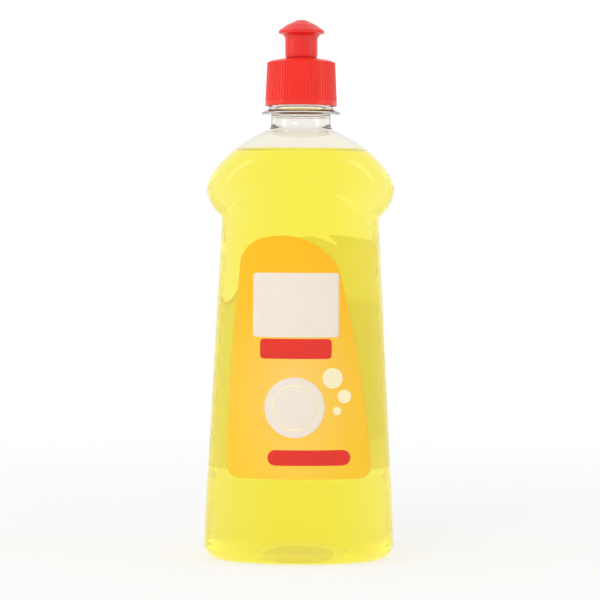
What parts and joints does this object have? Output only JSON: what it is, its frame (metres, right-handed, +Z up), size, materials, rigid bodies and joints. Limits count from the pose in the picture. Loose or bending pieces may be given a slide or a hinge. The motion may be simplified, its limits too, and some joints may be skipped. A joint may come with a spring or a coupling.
{
  "type": "dish soap bottle",
  "caption": "Clear waisted bottle of yellow dish soap with a swelling shoulder, a label front and back and a red push-pull cap.",
  "frame": {"origin": "centre of the face the bottle stands on, on the axis of its neck", "axes": "+Z up along the neck's axis, +X along the broad width, the front label faces -Y"},
  "size_m": [0.0795, 0.0568, 0.2251],
  "materials": {
    "clear_pet": "clear blown plastic, glossy",
    "soap": "clear yellow liquid",
    "label_film": "printed plastic film, satin",
    "red_cap": "moulded polypropylene, semi-gloss",
    "red_nozzle": "moulded polyethylene, satin"
  },
  "bodies": {
    "bottle": {"bottle": "clear_pet", "dish_soap": "soap", "front_label": "label_film", "back_label": "label_film"},
    "cap": {"cap": "red_cap"},
    "nozzle": {"pull_nozzle": "red_nozzle"}
  },
  "joints": [
    {"name": "cap_turn", "type": "hinge", "parent": "bottle", "child": "cap", "pos_m": [0, 0, 0.2], "axis": [0, 0, 1], "range_deg": [0, 450]},
    {"name": "nozzle_pull", "type": "slide", "parent": "cap", "child": "nozzle", "axis": [0, 0, 1], "range_m": [0, 0.005]}
  ]
}
